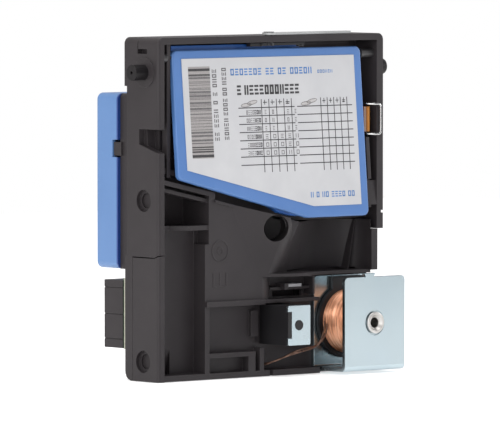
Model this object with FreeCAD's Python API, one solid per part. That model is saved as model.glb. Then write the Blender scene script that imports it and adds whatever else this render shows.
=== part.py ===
import FreeCAD, Part
import math
import os

from FreeCAD import Vector

# Electronic coin validator of the 3.5-inch format, built in millimetres.
# Working frame: X to the right seen from the front, Y to the rear, Z up.
# X = 0 is the outer face of the left wall, Y = 0 the front edge of the side walls,
# Z = 0 the underside. Every piece is shifted to the row frame when it is written.

# ---------------------------------------------------------------- driving dimensions
WIDTH = 89.0            # standard face width
HEIGHT = 102.0          # standard face height
WALL = 2.4              # side walls
TOP_T = 2.0             # top bar
TOP_R = 2.0             # rounded top corners
FOOT_R = 2.9            # rounded lower rear edge
REAR_EDGE = 15.3        # rear edge of the side walls, lower part
REAR_MID = 14.4         # rear edge beside the rear frame
LUG_REAR = 15.5         # rear edge of the upper lugs

PIN_R = 2.35            # mounting pins
PIN_LEN = 5.1
PIN_Y = 6.2
PIN_Z = 91.7

TILT = 4.7              # lean of the coin path, lower end to the front
TILT_Y = 1.5            # deck front face at TILT_Z
TILT_Z = 97.5
COVER_T = 1.6           # front shell of the deck
COVER_EDGE_R = 0.55     # rounded front edge of the shell
DECK_T = 3.3            # whole deck
PATH_BACK = 7.9         # coin path floor, measured square to the deck front
PLATE_T = 1.6           # runway plate

HINGE_Y = 2.6           # deck hinge axis
HINGE_Z = 96.0
JOURNAL_R = 0.7
FIT = 0.05              # radial running clearance

LEVER_X = 44.5          # reject lever pivot
LEVER_Y = 1.4
LEVER_R = 1.2

SPLIT_Z = 37.0          # parting line between main housing and gate housing
SPLIT_GAP = 0.32        # open joint along the parting line
GATE_RIGHT = 86.8       # outer face of the gate housing on the right
FACE_Y = 0.6            # front face of the gate housing
SEAT_Y = 5.1            # wall that carries the solenoid
CHUTE = (6.2, 10.6)     # exit chute, front to rear
GATE_REAR = 12.0
GATE_JOINT = 0.15       # open joint behind the gate housing's left wall

SOL_X = 76.6            # solenoid axis
SOL_Z = 15.2
YOKE = (64.6, 88.6)     # yoke, left to right
YOKE_FRONT = -10.3
YOKE_REAR = 5.0
YOKE_Z = (0.7, 29.1)
SHEET = 1.2             # yoke sheet thickness
COIL_R = 9.8
TUBE_R = 2.9
RING_R = 3.3            # riveted ring of the tube on the front plate
PLUNGER_R = 2.2
LEAD_R = 0.25
STROKE = 2.9

BOARD = (15.4, 17.0)    # circuit board, front and rear faces
COVER_Z = (33.0, 85.2)
COVER_Y = (18.9, 29.0)
COVER_WALL = 1.2

HEADER = (0.5, 9.5)
HEADER_Z = (9.4, 29.6)
HEADER_REAR = 25.5

DIAL_X = 22.0
DIAL_Z = 46.0

FRONT_MOST = -11.0
SHIFT = Vector(-WIDTH / 2.0, -(FRONT_MOST + COVER_Y[1]) / 2.0, 0.0)


# ---------------------------------------------------------------- helpers
def box(x0, x1, y0, y1, z0, z1):
    return Part.makeBox(x1 - x0, y1 - y0, z1 - z0, Vector(x0, y0, z0))


def rod(start, direction, radius, length):
    return Part.makeCylinder(radius, length, Vector(*start), Vector(*direction))


def prism(points, direction):
    wire = Part.makePolygon(points + [points[0]])
    return Part.Face(wire).extrude(Vector(*direction))


def prism_xz(points, y0, y1):
    return prism([Vector(x, y0, z) for x, z in points], (0, y1 - y0, 0))


def prism_yz(points, x0, x1):
    return prism([Vector(x0, y, z) for y, z in points], (x1 - x0, 0, 0))


def prism_xy(points, z0, z1):
    return prism([Vector(x, y, z0) for x, y in points], (0, 0, z1 - z0))


def join(shapes):
    whole = shapes[0]
    for shape in shapes[1:]:
        whole = whole.fuse(shape)
    return whole.removeSplitter()


def cut(shape, tools):
    for tool in tools:
        shape = shape.cut(tool)
    return shape


def edges_along(shape, axis, keep):
    found = []
    for edge in shape.Edges:
        if len(edge.Vertexes) != 2:
            continue
        first = edge.Vertexes[0].Point
        last = edge.Vertexes[1].Point
        run = last.sub(first)
        if run.Length < 0.01 or abs(abs(run.normalize()[axis]) - 1.0) > 1e-6:
            continue
        if keep((first + last) * 0.5):
            found.append(edge)
    return found


def rounded(shape, axis, radius, keep):
    return shape.makeFillet(radius, edges_along(shape, axis, keep))


def tilted(shape):
    shape = shape.copy()
    shape.rotate(Vector(0, TILT_Y, TILT_Z), Vector(1, 0, 0), -TILT)
    return shape


def deck_prism(points, y0, y1):
    """A plate parallel to the deck; y0 and y1 are measured square to its front face."""
    return tilted(prism_xz(points, TILT_Y + y0, TILT_Y + y1))


def deck_disc(x, z, radius, y0, y1):
    return tilted(rod((x, TILT_Y + y0, z), (0, 1, 0), radius, y1 - y0))


def wire_rod(points, radius):
    curve = Part.BSplineCurve()
    curve.interpolate([Vector(*p) for p in points])
    path = Part.Wire(curve.toShape())
    run = curve.tangent(curve.FirstParameter)[0]
    section = Part.Wire(Part.makeCircle(radius, Vector(*points[0]), run))
    return path.makePipeShell([section], True, False)


def bent_rod(points, radius, bend):
    """A round wire through corner points, each corner an arc of the bend radius."""
    corners = [Vector(*p) for p in points]
    edges = []
    start = corners[0]
    for i in range(1, len(corners) - 1):
        before = (corners[i - 1] - corners[i]).normalize()
        after = (corners[i + 1] - corners[i]).normalize()
        half = before.getAngle(after) / 2.0
        reach = bend / math.tan(half)
        first = corners[i] + before * reach
        last = corners[i] + after * reach
        middle_way = (before + after).normalize()
        centre = corners[i] + middle_way * (bend / math.sin(half))
        top = centre - middle_way * bend
        edges.append(Part.makeLine(start, first))
        edges.append(Part.Arc(first, top, last).toShape())
        start = last
    edges.append(Part.makeLine(start, corners[-1]))
    path = Part.Wire(edges)
    section = Part.Wire(Part.makeCircle(radius, corners[0], corners[1] - corners[0]))
    return path.makePipeShell([section], True, False)


def save(name, shape):
    shape = shape.copy()
    shape.translate(SHIFT)
    shape.exportStep("parts/" + name + ".step")


os.makedirs("parts", exist_ok=True)

# ---------------------------------------------------------------- deck outline
DECK_OUTLINE = [(6.6, 98.2), (81.2, 98.2), (81.2, 47.0), (56.6, 47.0), (6.7, 60.0)]
CARRIER_OUTLINE = [
    (7.7, 99.6), (58.0, 99.6), (58.0, 97.6), (79.4, 97.6), (79.4, 48.2), (57.2, 47.5), (51.0, 48.0),
    (46.5, 49.0), (43.0, 50.9), (9.6, 59.7), (9.6, 97.2), (7.7, 97.2),
]
LABEL_OUTLINE = [(10.0, 95.6), (78.1, 95.6), (78.1, 50.4), (59.2, 50.4), (10.1, 62.5)]

CORE_SPOTS = [(30.0, 78.0, 7.0), (54.0, 72.0, 8.5)]
LAMP_SPOTS = [(72.0, 84.0), (72.0, 60.0)]
SCREW_SPOTS = [(12.0, 79.0), (77.0, 79.0), (12.0, 64.0), (77.0, 50.0)]

journal_hole = rod((-1.0, HINGE_Y, HINGE_Z), (1, 0, 0), JOURNAL_R + FIT, WIDTH + 2.0)

deck_cover = prism_xz(DECK_OUTLINE, TILT_Y, TILT_Y + COVER_T)
deck_cover = rounded(deck_cover, 1, 1.9, lambda p: True)
front_edges = [edge for edge in deck_cover.Edges if edge.BoundBox.YMax < TILT_Y + 0.01]
deck_cover = deck_cover.makeFillet(COVER_EDGE_R, front_edges)
deck_cover = tilted(deck_cover).cut(journal_hole)

deck_carrier = deck_prism(CARRIER_OUTLINE, COVER_T, DECK_T)
for x, z, radius in CORE_SPOTS:
    deck_carrier = deck_carrier.cut(deck_disc(x, z, radius, DECK_T - 1.1, DECK_T + 0.2))
for x, z in LAMP_SPOTS:
    deck_carrier = deck_carrier.cut(deck_disc(x, z, 1.6, COVER_T - 0.1, DECK_T + 0.2))
deck_carrier = deck_carrier.cut(journal_hole)

deck_label = deck_prism(LABEL_OUTLINE, -0.18, 0.0)
deck_cores = [deck_disc(x, z, radius, DECK_T - 1.1, DECK_T - 0.05) for x, z, radius in CORE_SPOTS]
deck_lamps = [deck_disc(x, z, 1.6, COVER_T, DECK_T - 0.1) for x, z in LAMP_SPOTS]

save("deck_cover", deck_cover)
save("deck_carrier", deck_carrier)
save("deck_label", deck_label)
save("deck_sensor_cores", Part.makeCompound(deck_cores))
save("deck_light_guides", Part.makeCompound(deck_lamps))

# ---------------------------------------------------------------- deck pivot pins
pins = []
for collar, journal, tail in (((81.6, 86.5), (76.5, 81.6), (86.5, 87.9)),
                              ((2.4, 4.9), (4.9, 10.0), (1.0, 2.4))):
    piece = join([
        rod((collar[0], HINGE_Y, HINGE_Z), (1, 0, 0), 1.35, collar[1] - collar[0]),
        rod((journal[0], HINGE_Y, HINGE_Z), (1, 0, 0), JOURNAL_R, journal[1] - journal[0]),
        rod((tail[0], HINGE_Y, HINGE_Z), (1, 0, 0), 0.9, tail[1] - tail[0]),
    ])
    pins.append(piece)
save("deck_pivot_pins", Part.makeCompound(pins))

# ---------------------------------------------------------------- wire spring and ribbon
clip = bent_rod([
    (82.2, 8.8, 80.6), (83.6, 1.2, 80.6), (85.0, -0.55, 80.6), (87.6, -0.55, 80.6),
    (87.6, -0.55, 71.5), (85.0, -0.55, 71.5), (83.6, 1.2, 71.5), (82.2, 8.0, 71.5),
], 0.34, 1.0)
save("deck_spring_clip", clip)

RIBBON_Z = (72.3, 79.8)
RIBBON_T = 0.2
ribbon_way = [(81.0, 4.6), (81.6, 1.7), (83.3, 0.35), (84.9, 1.7), (85.1, 4.5), (84.6, 7.4)]
curve = Part.BSplineCurve()
curve.interpolate([Vector(x, y, 0) for x, y in ribbon_way])
near = []
far = []
for step in range(25):
    at = curve.FirstParameter + (curve.LastParameter - curve.FirstParameter) * step / 24.0
    point = curve.value(at)
    run = curve.tangent(at)[0]
    side = Vector(-run.y, run.x, 0) * (RIBBON_T / 2.0)
    near.append((point.x + side.x, point.y + side.y))
    far.append((point.x - side.x, point.y - side.y))
ribbon = prism_xy(near + far[::-1], RIBBON_Z[0], RIBBON_Z[1])
save("sensor_ribbon", ribbon)

# ---------------------------------------------------------------- reject lever
lever_shaft = join([
    rod((LEVER_X, LEVER_Y, 98.9), (0, 0, 1), LEVER_R, 4.0),
    rod((LEVER_X, LEVER_Y, 102.9), (0, 0, 1), 1.6, 0.2),
])
lever_arm = join([
    rod((LEVER_X, LEVER_Y, 102.2), (0, 0, 1), 2.0, 0.7),
    prism_xy([(LEVER_X, -0.1), (76.3, 0.4), (76.3, 2.6), (LEVER_X, 3.0)], 102.2, 102.9),
])
lever_arm = lever_arm.cut(rod((LEVER_X, LEVER_Y, 102.0), (0, 0, 1), LEVER_R, 1.2))
lever_finger = join([
    rod((LEVER_X, LEVER_Y, 98.9), (0, 0, 1), 1.5, 0.9),
    box(36.8, 41.3, 0.9, 2.8, 98.8, 99.8),
    box(41.0, LEVER_X, 0.5, 2.2, 98.9, 99.8),
    box(LEVER_X, 57.8, 0.5, 2.0, 99.0, 99.8),
])
lever_finger = lever_finger.cut(rod((LEVER_X, LEVER_Y, 98.0), (0, 0, 1), LEVER_R, 2.5))
lever_stud_hole = rod((56.6, 1.25, 98.0), (0, 0, 1), 0.6, 2.0)
lever_finger = lever_finger.cut(lever_stud_hole)
lever_stud = join([
    rod((56.6, 1.25, 98.55), (0, 0, 1), 1.1, 0.45),
    rod((56.6, 1.25, 98.9), (0, 0, 1), 0.6, 0.9),
])
save("reject_lever_shaft", lever_shaft)
save("reject_lever_arm", lever_arm)
save("reject_lever_finger", lever_finger)
save("reject_lever_stud", lever_stud)

# ---------------------------------------------------------------- main housing
FOOT = []
for step in range(9):
    turn = math.pi / 2.0 * step / 8.0
    FOOT.append((REAR_EDGE - FOOT_R + FOOT_R * math.sin(turn), FOOT_R - FOOT_R * math.cos(turn)))
LEFT_PROFILE = [(0.0, 37.7), (1.7, SPLIT_Z), (11.9, SPLIT_Z), (11.9, 0.0)] + FOOT + [
    (REAR_EDGE, SPLIT_Z), (REAR_MID, SPLIT_Z + 0.6), (REAR_MID, 87.5), (LUG_REAR, 87.5),
    (LUG_REAR, HEIGHT), (0.0, HEIGHT), (0.0, 74.9), (8.8, 74.9), (8.8, 70.4), (0.0, 67.8),
]
RIGHT_PROFILE = [
    (0.0, 42.9), (11.9, 42.9), (11.9, 36.0), (REAR_EDGE, 36.0), (REAR_EDGE, SPLIT_Z),
    (REAR_MID, SPLIT_Z + 0.6), (REAR_MID, 87.5), (LUG_REAR, 87.5), (LUG_REAR, HEIGHT), (0.0, HEIGHT),
]
left_wall = prism_yz(LEFT_PROFILE, 0.0, WALL)
right_wall = prism_yz(RIGHT_PROFILE, 86.5, WIDTH)
right_strip = prism_yz([(11.9, 0.0)] + FOOT + [(REAR_EDGE, 37.5), (11.9, 37.5)], 84.4, GATE_RIGHT)
right_web = box(84.4, 86.6, 12.2, 14.2, 37.0, 60.0)
rear_foot = box(1.0, 86.0, 12.4, 14.6, 0.4, 2.4)
top_bar = box(1.0, 88.0, 0.0, 11.6, HEIGHT - TOP_T, HEIGHT)
top_rear = box(1.0, 88.0, 11.6, LUG_REAR, HEIGHT - 1.4, HEIGHT)

plate = deck_prism([(2.0, 100.8), (87.0, 100.8), (87.0, 46.6), (57.0, 46.6), (2.0, 58.8)],
                   PATH_BACK, PATH_BACK + PLATE_T)
rail = deck_prism([(2.0, 64.1), (57.5, 51.8), (57.5, 50.2), (2.0, 62.5)], DECK_T + 0.4, PATH_BACK + 0.1)
side_rib = deck_prism([(82.3, 70.6), (83.6, 70.6), (83.6, 58.0), (82.3, 58.0)], 1.0, PATH_BACK + 0.1)
latch_block = deck_prism([(82.6, 57.6), (87.0, 57.6), (87.0, 50.2), (82.6, 50.2)], 2.4, 6.0)
latch_tie = deck_prism([(83.2, 60.0), (84.6, 60.0), (84.6, 49.4), (83.2, 49.4)], 2.9, PATH_BACK + 0.1)
inner_rib = box(4.9, 6.2, 1.8, 10.0, 60.5, HEIGHT - TOP_T + 0.1).cut(journal_hole)

posts = []
for x, z in SCREW_SPOTS:
    start = 8.4 - (TILT_Z - z) * math.tan(math.radians(TILT))
    posts.append(rod((x, start, z), (0, 1, 0), 2.8, BOARD[0] - start))

bosses = [
    rod((-0.3, PIN_Y, PIN_Z), (1, 0, 0), 4.5, 0.5),
    rod((WIDTH - 0.2, PIN_Y, PIN_Z), (1, 0, 0), 4.5, 0.5),
    rod((-PIN_LEN, PIN_Y, PIN_Z), (1, 0, 0), PIN_R, PIN_LEN + 1.0),
    rod((WIDTH - 1.0, PIN_Y, PIN_Z), (1, 0, 0), PIN_R, PIN_LEN + 1.0),
]
left_wall = rounded(left_wall, 2, 0.9, lambda p: p.x < 0.01 and p.y < 0.01)
main_housing = join([left_wall, right_wall, right_strip, right_web, rear_foot, top_bar, top_rear,
                     plate, rail, side_rib, latch_block, latch_tie, inner_rib] + posts + bosses)
main_housing = cut(main_housing, [
    # coin inlet through the top bar
    box(50.0, 83.0, 4.9, 9.62, 99.0, HEIGHT + 1.0),
    # everything above the top face
    box(-1.0, 90.0, -1.0, 20.0, HEIGHT, HEIGHT + 3.0),
    # slot and groove above the left pin, mirrored on the right
    box(-1.0, 1.8, 5.1, 9.5, 97.2, 98.6),
    box(-1.0, 0.35, 9.2, 9.5, 98.0, HEIGHT + 1.0),
    box(87.2, 90.0, 5.1, 9.5, 97.2, 98.6),
    # centre marks in the pin ends
    rod((-PIN_LEN - 0.1, PIN_Y, PIN_Z), (1, 0, 0), 0.5, 1.5),
    rod((WIDTH + PIN_LEN + 0.1, PIN_Y, PIN_Z), (-1, 0, 0), 0.5, 1.5),
    # locating recess in the left wall
    rod((-0.1, 6.7, 53.7), (1, 0, 0), 3.3, 1.3),
    rod((-0.1, 6.7, 53.7), (1, 0, 0), 2.3, 2.1),
    # seats of the deck pivot pins
    rod((1.0, HINGE_Y, HINGE_Z), (1, 0, 0), 0.9, 1.4),
    rod((86.5, HINGE_Y, HINGE_Z), (1, 0, 0), 0.9, 1.4),
    # bearing of the reject lever shaft
    rod((LEVER_X, LEVER_Y, 99.0), (0, 0, 1), LEVER_R + FIT, 4.0),
    # small notch in the front edge of the right wall
    box(88.2, 90.0, -1.0, 1.2, 47.6, 48.4),
    # slit in the rib behind the left notch
    box(4.7, 6.4, 4.0, 5.4, 68.5, 74.5),
    clip,
])
for x, z in SCREW_SPOTS:
    main_housing = main_housing.cut(rod((x, BOARD[0] - 4.0, z), (0, 1, 0), 1.1, 5.0))
for x, z, radius in CORE_SPOTS:
    main_housing = main_housing.cut(deck_disc(x, z, radius, PATH_BACK - 0.5, PATH_BACK + 3.0))
for x, z in LAMP_SPOTS:
    main_housing = main_housing.cut(deck_disc(x, z, 1.6, PATH_BACK - 0.5, PATH_BACK + 3.0))
for x0, x1, centre in ((-1.0, TOP_R, TOP_R), (WIDTH - TOP_R, WIDTH + 1.0, WIDTH - TOP_R)):
    corner = box(x0, x1, -1.0, 20.0, HEIGHT - TOP_R, HEIGHT + 1.0)
    corner = corner.cut(rod((centre, -2.0, HEIGHT - TOP_R), (0, 1, 0), TOP_R, 24.0))
    main_housing = main_housing.cut(corner)
save("main_housing", main_housing)

cores = [deck_disc(x, z, radius, PATH_BACK + 0.2, PATH_BACK + 3.4) for x, z, radius in CORE_SPOTS]
save("runway_sensor_cores", Part.makeCompound(cores))
lamps = [deck_disc(x, z, 1.6, PATH_BACK + 0.1, PATH_BACK + 3.0) for x, z in LAMP_SPOTS]
save("runway_photo_sensors", Part.makeCompound(lamps))

# ---------------------------------------------------------------- gate housing
FLOOR_Z = 30.6          # top of the ledge under the scoop


def section(curve_points, corners, z):
    """A closed outline at height z: a smooth curve, then straight runs through the corners."""
    line = Part.BSplineCurve()
    line.interpolate([Vector(x, y, z) for x, y in curve_points])
    points = [line.EndPoint] + [Vector(x, y, z) for x, y in corners] + [line.StartPoint]
    return Part.Wire([line.toShape()] + [Part.makeLine(a, b) for a, b in zip(points, points[1:])])


# The scoop's wall: it leaves the sloping facet without an edge, runs to the rear and comes
# forward again at the right.
SCOOP_LOW = [
    (41.0, 0.31), (43.0, -0.1), (45.0, 0.15), (47.4, 1.3), (50.4, 3.1), (54.2, 5.4),
    (59.0, 7.9), (65.0, 9.9), (73.0, 10.6), (79.6, 9.5), (83.0, 6.6), (84.4, 2.2),
]
SCOOP_HIGH = [
    (46.5, -3.96), (48.6, -4.4), (50.9, -4.2), (53.8, -2.7), (57.2, -0.1), (61.0, 3.2),
    (65.2, 6.5), (70.0, 9.2), (75.8, 10.6), (80.4, 9.5), (83.2, 6.6), (84.4, 2.2),
]
SCOOP_TOP_Z = 50.0
SLOT_CURVE = [(40.0, 0.55), (42.0, 0.75), (44.6, 1.9), (46.6, 3.9), (47.2, 5.15)]
SLOT_Z = (23.0, 29.7)

GATE_TOP = SPLIT_Z - SPLIT_GAP
gate_back = 11.9 - GATE_JOINT
gate_side = [(0.0, 0.0), (gate_back, 0.0), (gate_back, GATE_TOP), (1.7, GATE_TOP), (0.0, GATE_TOP + 0.7)]
gate_left = prism_yz(gate_side, 0.0, WALL)
gate_left = rounded(gate_left, 2, 0.9, lambda p: p.x < 0.01 and p.y < 0.01)
pieces = [
    gate_left,
    box(84.4, GATE_RIGHT, SEAT_Y, 11.9, 0.0, 42.8),
    box(84.4, GATE_RIGHT, 0.0, 11.9, 30.4, 42.8),
    # sill along the bottom
    box(1.2, 64.2, FACE_Y, 6.2, 0.0, 1.8),
    # left recess: floor, shelf, deep pocket above
    box(1.2, 19.9, 6.0, 7.4, 0.0, 36.0),
    box(2.4, 19.9, 6.0, 7.4, 0.0, 46.0),
    prism_xy([(2.4, 5.0), (8.6, 5.0), (12.4, 0.9), (21.0, 0.9), (21.0, 12.6), (2.4, 12.6)], 44.6, 46.0),
    box(2.4, 21.4, 12.6, 13.8, 44.6, 59.0),
    # thicker floor round the curved hollow at the foot of the recess
    box(6.2, 10.6, 7.3, 9.4, 0.0, 10.2),
    box(18.7, 19.9, FACE_Y, 7.4, 0.0, 40.3),
    box(20.2, 21.4, FACE_Y, 5.4, 39.0, 54.0),
    box(20.2, 21.4, 5.3, 12.8, 39.0, 53.6),
    box(18.7, 21.4, 5.8, 7.4, 38.0, 46.0),
    # sloping ledges below the runway
    prism_xz([(2.4, 60.0), (22.4, 55.6), (22.4, 53.6), (20.2, 53.6), (20.2, 54.7), (2.4, 58.6)], 0.4, 5.4),
    prism_xz([(2.4, 57.7), (20.6, 53.7), (20.6, 52.6), (2.4, 56.6)], 1.5, 5.4),
    # raised centre plate
    prism_xz([
        (18.7, 22.6), (18.7, 40.3), (20.2, 40.3), (20.2, 54.0),
        (22.4, 53.5), (39.0, 49.6), (42.0, 48.9), (42.0, 22.6),
    ], FACE_Y, 2.0),
    # frame below the centre plate
    box(18.7, 20.4, FACE_Y, 5.0, 0.0, 23.2),
    box(18.7, 41.6, -0.4, 5.2, 21.6, 23.2),
    box(20.0, 38.6, FACE_Y, 5.0, 6.3, 7.7),
    box(20.0, 40.5, 3.5, 4.9, 0.0, 30.0),
    box(39.2, 40.5, 3.5, 6.2, 0.0, 30.6),
    box(35.8, 38.5, FACE_Y, 4.0, 0.0, 7.7),
    box(40.3, 41.9, FACE_Y, 5.4, 0.0, 8.6),
    # wall that carries the solenoid, ledges above it
    box(40.2, 84.6, SEAT_Y, CHUTE[0], 0.0, FLOOR_Z),
    box(41.0, 63.6, 0.2, 5.2, 21.9, 23.0),
    box(41.0, 84.6, 4.0, CHUTE[0], 29.7, FLOOR_Z),
    # thin lip in front of the floor, sloping down to an upright rib
    prism_xz([
        (46.0, 30.6), (53.0, 30.6), (62.2, 29.7), (62.2, 24.0),
        (61.5, 24.0), (61.5, 29.2), (53.0, 30.1), (46.0, 30.1),
    ], 0.8, 5.2),
    # boss beside the exit sensor
    box(38.2, 40.9, 2.2, 5.2, 12.0, 19.8),
    # rounded shoulder between the centre plate and the slot under the scoop
    prism_xz([(41.0, 21.9), (41.0, 30.6), (50.0, 30.6), (50.0, 21.9)], FACE_Y, 6.2),
    # exit chute
    box(48.6, 50.0, SEAT_Y, GATE_REAR, 0.0, FLOOR_Z + 0.2),
    box(48.6, 84.4, CHUTE[1], GATE_REAR, 0.0, 46.0),
    # block that holds the scoop
    prism_xz([(41.0, 29.6), (41.0, 49.1), (48.0, 47.6), (57.0, 45.7), (84.5, 45.7), (84.5, 29.6)],
             FACE_Y, 11.9),
]
facet = prism([Vector(41.5, 0.7, 27.7), Vector(59.5, -4.0, 27.7), Vector(59.5, 0.7, 27.7)], (-13.3, 0, 24.0))
facet_bounds = [(28.0, 29.6), (28.0, 52.2), (39.0, 49.6), (48.0, 47.6), (57.0, 45.7), (57.0, 29.6)]
facet = facet.common(prism_xz(facet_bounds, -5.0, 2.0))
gate_housing = join(pieces + [facet])
scoop = Part.makeLoft([
    section(SCOOP_LOW, [(84.4, -8.0), (41.0, -8.0)], FLOOR_Z),
    section(SCOOP_HIGH, [(84.4, -8.0), (46.5, -8.0)], SCOOP_TOP_Z),
], True, True)
slot = Part.Face(section(SLOT_CURVE, [(60.6, 5.15), (60.6, -6.0), (40.0, -6.0)], SLOT_Z[0]))
slot = slot.extrude(Vector(0, 0, SLOT_Z[1] - SLOT_Z[0]))
gate_housing = cut(gate_housing, [
    scoop,
    slot,
    # exit chute, open at the bottom
    box(50.0, 84.4, CHUTE[0], CHUTE[1], -1.0, FLOOR_Z + 0.5),
    # round opening in the facet and the space behind it
    rod((41.6, -6.8, 44.4), (0.5, 0.866, 0), 4.0, 18.5),
    box(40.0, 50.0, 4.2, 10.6, 37.0, 47.4),
    # notch in the sill for the coil leads
    box(44.2, 45.6, -1.0, 3.2, -1.0, 3.0),
    rod((44.9, SEAT_Y - 0.1, 3.4), (0, 1, 0), 1.0, 1.3),
    # window below the light guide
    box(49.0, 60.6, SEAT_Y - 0.1, CHUTE[0] + 0.1, 23.4, 25.2),
    # opening for the plunger
    rod((SOL_X, SEAT_Y - 0.1, SOL_Z), (0, 1, 0), 4.0, 1.3),
    # locating recess in the left wall
    rod((-0.1, 7.0, 5.9), (1, 0, 0), 3.3, 1.3),
    rod((-0.1, 7.0, 5.9), (1, 0, 0), 2.3, 2.1),
    # curved hollow at the foot of the recess
    prism_yz([(5.9, 9.4), (6.4, 8.0), (7.1, 6.2), (7.8, 3.8), (8.2, 1.8), (5.9, 1.8)], 7.0, 9.4),
])
details = [
    # upright rib in the scoop
    prism_xz([(82.9, 45.6), (83.3, 45.6), (80.6, FLOOR_Z), (80.1, FLOOR_Z)], 6.0, 10.8),
    # shelf in the slot that carries the light guide, and the cheek at its left end
    box(46.0, 61.8, 2.6, 5.2, 25.6, 26.4),
    box(50.4, 51.8, 0.9, 5.2, 25.6, 27.5),
    # raised rim along the top edge of the centre plate
    prism_xz([
        (22.4, 53.5), (33.0, 51.0), (40.0, 49.3), (43.2, 48.8),
        (43.2, 48.2), (40.0, 48.4), (33.0, 50.1), (22.4, 52.7),
    ], FACE_Y - 0.45, 1.6),
]
MARK_OUT = 0.15         # height of the moulded marks
MARK_LINE = 0.4         # width of their lines
for radius in (3.3, 1.2):
    disc = rod((24.6, FACE_Y - MARK_OUT, 38.2), (0, 1, 0), radius, 0.4)
    details.append(disc.cut(rod((24.6, FACE_Y - 1.0, 38.2), (0, 1, 0), radius - MARK_LINE, 3.0)))
details.append(box(21.8, 27.2, FACE_Y - MARK_OUT, 1.0, 27.4, 27.4 + MARK_LINE))
for x in (21.8, 24.3, 26.8):
    details.append(box(x, x + MARK_LINE, FACE_Y - MARK_OUT, 1.0, 27.4, 31.6))
gate_housing = join([gate_housing] + details)
save("gate_housing", gate_housing)

light_guide = box(51.9, 57.0, 0.9, 5.1, 26.4, 27.3)
save("exit_light_guide", light_guide)

# ---------------------------------------------------------------- exit sensor and its clip plate
sensor_block = join([
    box(44.0, 52.8, -7.2, SEAT_Y, 9.5, 21.4),
    box(44.0, 45.4, -8.0, -7.1, 11.7, 19.5),
    rod((48.3, -8.2, 15.5), (0, 1, 0), 1.5, 1.2),
])
sensor_block = cut(sensor_block, [box(45.6, 51.4, -5.6, SEAT_Y - 1.4, 8.0, 19.8)])
save("exit_sensor_block", sensor_block)

clip_plate = prism_xz([
    (44.0, 9.5), (52.8, 9.5), (52.8, 21.4), (44.0, 21.4),
    (44.0, 19.6), (45.5, 19.6), (45.5, 11.6), (44.0, 11.6),
], -8.0, -7.2)
clip_plate = clip_plate.cut(rod((48.3, -9.0, 15.5), (0, 1, 0), 1.5, 3.0))
clip_plate = rounded(clip_plate, 1, 0.5, lambda p: p.z < 9.6 or p.z > 21.3)
save("sensor_clip_plate", clip_plate)

# ---------------------------------------------------------------- solenoid
yoke_profile = [
    (YOKE_FRONT, YOKE_Z[0]), (YOKE_REAR, YOKE_Z[0]), (YOKE_REAR, YOKE_Z[1]), (YOKE_REAR - SHEET, YOKE_Z[1]),
    (YOKE_REAR - SHEET, YOKE_Z[0] + SHEET), (YOKE_FRONT + SHEET, YOKE_Z[0] + SHEET),
    (YOKE_FRONT + SHEET, YOKE_Z[1]), (YOKE_FRONT, YOKE_Z[1]),
]
yoke = prism_yz(yoke_profile, YOKE[0], YOKE[1])
yoke = rounded(yoke, 0, 1.6, lambda p: p.z < YOKE_Z[0] + 0.01)
yoke = rounded(yoke, 0, 0.4, lambda p: abs(p.z - YOKE_Z[0] - SHEET) < 0.01)
yoke = rounded(yoke, 1, 1.3, lambda p: p.z > YOKE_Z[1] - 0.01)
tab = prism_xz([(73.1, 28.9), (76.1, 28.9), (76.8, 30.2), (72.4, 30.2)], YOKE_FRONT, YOKE_FRONT + SHEET)
yoke = join([yoke, tab])
ring_groove = rod((SOL_X, YOKE_FRONT - 1.0, SOL_Z), (0, 1, 0), 3.75, 1.3)
ring_groove = ring_groove.cut(rod((SOL_X, YOKE_FRONT - 2.0, SOL_Z), (0, 1, 0), 3.1, 4.0))
yoke = cut(yoke, [
    rod((SOL_X, YOKE_FRONT - 1.0, SOL_Z), (0, 1, 0), 2.5, 4.0),
    rod((SOL_X, YOKE_REAR - 3.0, SOL_Z), (0, 1, 0), TUBE_R, 4.0),
    ring_groove,
])
save("solenoid_yoke", yoke)

tube = join([
    rod((SOL_X, FRONT_MOST, SOL_Z), (0, 1, 0), RING_R, YOKE_FRONT - FRONT_MOST),
    rod((SOL_X, YOKE_FRONT, SOL_Z), (0, 1, 0), 2.5, SHEET),
    rod((SOL_X, YOKE_FRONT + SHEET, SOL_Z), (0, 1, 0), TUBE_R, YOKE_REAR - YOKE_FRONT - SHEET),
])
rim_edges = [edge for edge in tube.Edges if edge.BoundBox.YMax < FRONT_MOST + 0.01]
tube = tube.makeFillet(0.4, rim_edges)
dish = Part.makeCone(2.55, 1.75, 0.9, Vector(SOL_X, FRONT_MOST - 0.001, SOL_Z), Vector(0, 1, 0))
tube = cut(tube, [
    dish,
    rod((SOL_X, FRONT_MOST - 1.0, SOL_Z), (0, 1, 0), 1.6, 5.0),
    rod((SOL_X, -8.9, SOL_Z), (0, 1, 0), PLUNGER_R + FIT, 15.0),
])
save("solenoid_core_tube", tube)

BOBBIN = (-8.9, 3.6)
bobbin = join([
    rod((SOL_X, BOBBIN[0], SOL_Z), (0, 1, 0), 3.8, BOBBIN[1] - BOBBIN[0]),
    rod((SOL_X, BOBBIN[0], SOL_Z), (0, 1, 0), 10.3, 1.1),
    rod((SOL_X, BOBBIN[1] - 1.2, SOL_Z), (0, 1, 0), 11.2, 1.2),
    box(71.0, 83.4, BOBBIN[1] - 1.2, BOBBIN[1], SOL_Z + 2.0, 28.7),
])
bobbin = bobbin.cut(rod((SOL_X, BOBBIN[0] - 1.0, SOL_Z), (0, 1, 0), TUBE_R, 16.0))
save("solenoid_bobbin", bobbin)

winding = rod((SOL_X, BOBBIN[0] + 1.1, SOL_Z), (0, 1, 0), COIL_R, BOBBIN[1] - BOBBIN[0] - 2.3)
winding = winding.cut(rod((SOL_X, BOBBIN[0], SOL_Z), (0, 1, 0), 3.8, 14.0))
save("solenoid_winding", winding)

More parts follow.
